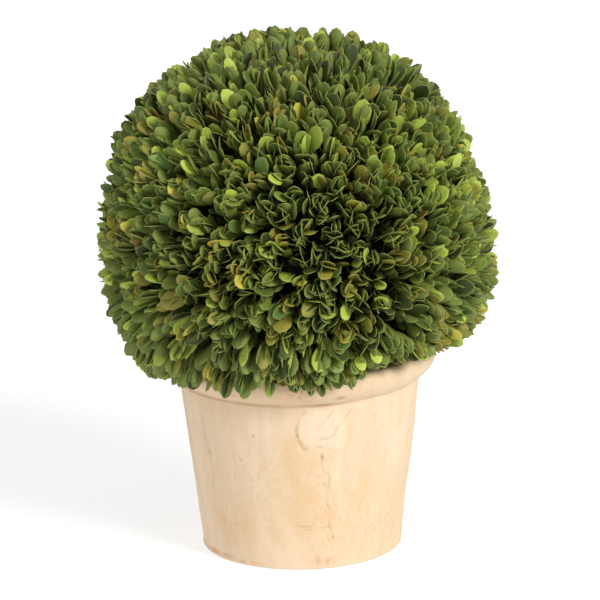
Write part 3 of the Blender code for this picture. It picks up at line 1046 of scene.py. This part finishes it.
def area_mask(degrees, height, areas, edge, ragged):
    """How strongly each point lies in one of these oval areas."""
    total = np.zeros(np.shape(degrees))
    for middle, middle_height, half_angle, half_height, strength in areas:
        out = np.hypot(turn_between(degrees, middle) / half_angle, (height - middle_height) / half_height)
        total = np.maximum(total, strength * (1.0 - smooth_step(*edge, out + ragged)))
    return total


def pot_marks(rings, degrees, ragged):
    """How strong the patch, each kind of line and the spots are at each point, from 0 to 1."""
    height = rings[..., 2]
    radius = np.hypot(rings[..., 0], rings[..., 1])
    wander = layered(rings, WANDER_LAYERS)
    marks = {"patch": area_mask(degrees, height, PATCH_AREAS, PATCH_EDGE, PATCH_RAGGED * ragged)}
    for name, paths, wandering, width in LINES:
        gap = distance_to_paths(degrees, height + wandering * wander, radius, paths)
        marks[name] = fade(gap, width)
    marks["cracks"] *= patchy(rings, *CRACK_PATCHES)
    marks["spots"] = np.zeros(degrees.shape)
    for middle, middle_height, size in SPOTS:
        gap = np.hypot(np.radians(turn_between(degrees, middle)) * radius, height - middle_height)
        marks["spots"] = np.maximum(marks["spots"], fade(gap, size))
    return marks


def pot_stains(rings, degrees, ragged, marks):
    """How pale, dirty, warm and rusty the pot's outside is at each point."""
    height = rings[..., 2]
    least, extra, middle, width = GROOVE_DIRT
    groove = fade(height - (POT_NECK_HEIGHT - GROOVE_WIDTH / 2), GROOVE_DIRT_WIDTH)
    groove = groove * (least + extra * fade(turn_between(degrees, middle), width))
    dirt = groove * (1.0 + layered(rings, GROOVE_LAYERS))
    dirt = dirt + ARC_DIRT * marks["arc"] * patchy(rings, *ARC_PATCHES)
    for name, share in MARK_DIRT.items():
        dirt = dirt + share * marks[name]
    pale, warm, rust = [
        area_mask(degrees, height, areas, AREA_EDGE, AREA_RAGGED * ragged)
        for areas in (PALE_AREAS, WARM_AREAS, RUST_AREAS)
    ]
    pale = np.maximum(pale, marks["patch"])
    warm = np.maximum(warm, ARC_WARMTH * marks["arc"])
    return {"patch": pale, "dirt": dirt, "warm": warm, "rust": rust}


def make_pot():
    """The terracotta pot with its worn plaster wash: a raised patch, cracks, stains and an uneven wall."""
    profile, outside_from, outside_to = pot_profile()
    angles = pot_angles()
    rings = turned_rings(profile, np.radians(angles))
    degrees = np.broadcast_to(angles, rings.shape[:2])
    on_outside = np.zeros((len(rings), 1))
    on_outside[outside_from:outside_to] = 1.0
    ragged = layered(rings, RAGGED_LAYERS)
    marks = pot_marks(rings, degrees, ragged)
    relief = layered(rings, POT_LAYERS)
    for name, rise in MARK_RISES.items():
        relief = relief + rise * marks[name]
    relief = (np.minimum(relief, POT_RELIEF_MOST) - POT_RELIEF_MOST) * on_outside
    rings = rings + unit(rings * np.array([1.0, 1.0, 0.0])) * relief[..., None]
    made = grid_object("pot_body", rings, [pot_material()])
    for name, values in pot_stains(rings, degrees, ragged, marks).items():
        shown = np.append(np.clip(values * on_outside, 0.0, 1.0), [0.0, 0.0])
        attribute = made.data.attributes.new(name, "FLOAT", "POINT")
        attribute.data.foreach_set("value", shown.astype(np.float32))
    return made


def pot_material():
    """Pale cream wash on terracotta, brushed up and down, with warm stains, dirt and rust marks."""
    material = Material("terracotta", srgb(236, 218, 188), 0.8)
    clouds = material.noise(16.0, detail=4.0, low=0.3, high=0.7)
    mottle = material.noise(110.0, stretch=(1.0, 1.0, 0.6), detail=5.0)
    brushed = material.noise(130.0, stretch=(1.0, 1.0, 0.12), detail=4.0, low=0.25, high=0.75)
    grain = material.noise(1500.0, detail=2.0, low=0.25, high=0.75)
    colour = material.mix(clouds, srgb(226, 204, 176), srgb(219, 195, 162))
    warmth = material.times(material.attribute("warm"), material.spread(mottle, 0.0, 1.0, 0.3, 0.58))
    colour = material.mix(warmth, colour, srgb(216, 176, 124))
    colour = material.mix(material.times(material.attribute("patch"), 0.34), colour, srgb(238, 222, 202))
    specks = material.noise(520.0, stretch=(1.0, 1.0, 0.5), detail=3.0, low=0.52, high=0.72)
    specked = material.noise(24.0, detail=3.0, low=0.36, high=0.62)
    speck_share = material.times(material.times(specks, specked), 0.55)
    colour = material.mix(speck_share, colour, srgb(204, 166, 118))
    for pattern, shade in ((brushed, srgb(247, 243, 238)), (grain, srgb(248, 246, 244))):
        colour = material.mix(1.0, colour, material.mix(pattern, shade, WHITE), "MULTIPLY")
    rusty = material.times(material.attribute("rust"), material.noise(180.0, detail=4.0, high=0.6))
    colour = material.mix(material.times(rusty, 0.75), colour, srgb(190, 132, 80))
    colour = material.mix(material.times(material.attribute("dirt"), 0.8), colour, srgb(150, 108, 70))
    material.colour(colour)
    material.feed(material.shader.inputs["Roughness"], material.spread(clouds, 0.0, 1.0, 0.7, 0.86))
    height = material.worked_out("ADD", material.times(brushed, 0.5), material.times(grain, 0.5))
    material.bump(height, distance=0.00025, strength=0.4)
    return material.made


def add_sun(name, azimuth_degrees, elevation_degrees, strength, width_degrees, colour):
    """A soft distant light. Azimuth 0 comes from the camera's side and 90 from the photograph's right."""
    light = bpy.data.lights.new(name, "SUN")
    light.energy = strength
    light.angle = math.radians(width_degrees)
    light.color = colour
    made = linked(name, light)
    made.rotation_mode = "QUATERNION"
    towards = Vector(direction_at(azimuth_degrees - 90.0, elevation_degrees))
    made.rotation_quaternion = towards.to_track_quat("Z", "Y")


def make_stage():
    """A plain white floor, white surroundings and two soft lights."""
    corners = [(x * FLOOR_HALF, y * FLOOR_HALF, 0.0) for x, y in ((-1, -1), (1, -1), (1, 1), (-1, 1))]
    mesh = bpy.data.meshes.new("floor")
    mesh.from_pydata(corners, [], [(0, 1, 2, 3)])
    material = Material("floor_paper", (FLOOR_GREY, FLOOR_GREY, FLOOR_GREY, 1.0), 0.9)
    material.shader.inputs["Emission Color"].default_value = WHITE
    material.shader.inputs["Emission Strength"].default_value = FLOOR_GLOW
    material.bump(material.noise(300.0, detail=2.0), distance=0.0001, strength=0.1)
    mesh.materials.append(material.made)
    linked("floor", mesh)

    world = bpy.data.worlds.new("surroundings")
    world.use_nodes = True
    background = world.node_tree.nodes["Background"].inputs
    background["Color"].default_value = WHITE
    background["Strength"].default_value = SKY_STRENGTH
    bpy.context.scene.world = world
    for sun in SUNS:
        add_sun(*sun)
    bpy.context.scene.view_settings.view_transform = "Standard"


def make_camera():
    """The photograph's camera, which leans a little to one side."""
    elevation = math.radians(CAMERA_ELEVATION_DEGREES)
    back = Vector((0.0, -math.cos(elevation), math.sin(elevation)))
    data = bpy.data.cameras.new("camera")
    data.lens = LENS_MM
    data.clip_start = CLIP_NEAR
    data.clip_end = CLIP_FAR
    camera = linked("camera", data)
    camera.rotation_mode = "QUATERNION"
    roll = Matrix.Rotation(-math.radians(CAMERA_ROLL_DEGREES), 4, "Z").to_quaternion()
    camera.rotation_quaternion = back.to_track_quat("Z", "Y") @ roll
    camera.location = TARGET + back * CAMERA_DISTANCE
    bpy.context.scene.camera = camera


def dress(piece, node):
    """Puts a piece in place of a CAD node, on the one body that there is."""
    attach(piece, "root")
    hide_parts(node)


def main():
    """Makes the stage and every piece, and dresses each CAD node with its own."""
    make_camera()
    make_stage()
    rng = np.random.default_rng(SPRIG_SEED)
    sprigs = make_sprigs(rng)
    for piece in make_leaves(sprigs, rng):
        dress(piece, "crown")
    dress(make_twigs(sprigs, rng), "crown")
    dress(make_core(), "crown")
    dress(make_stem(), "stem")
    dress(make_filling(), "filling")
    dress(make_pot(), "pot")


main()
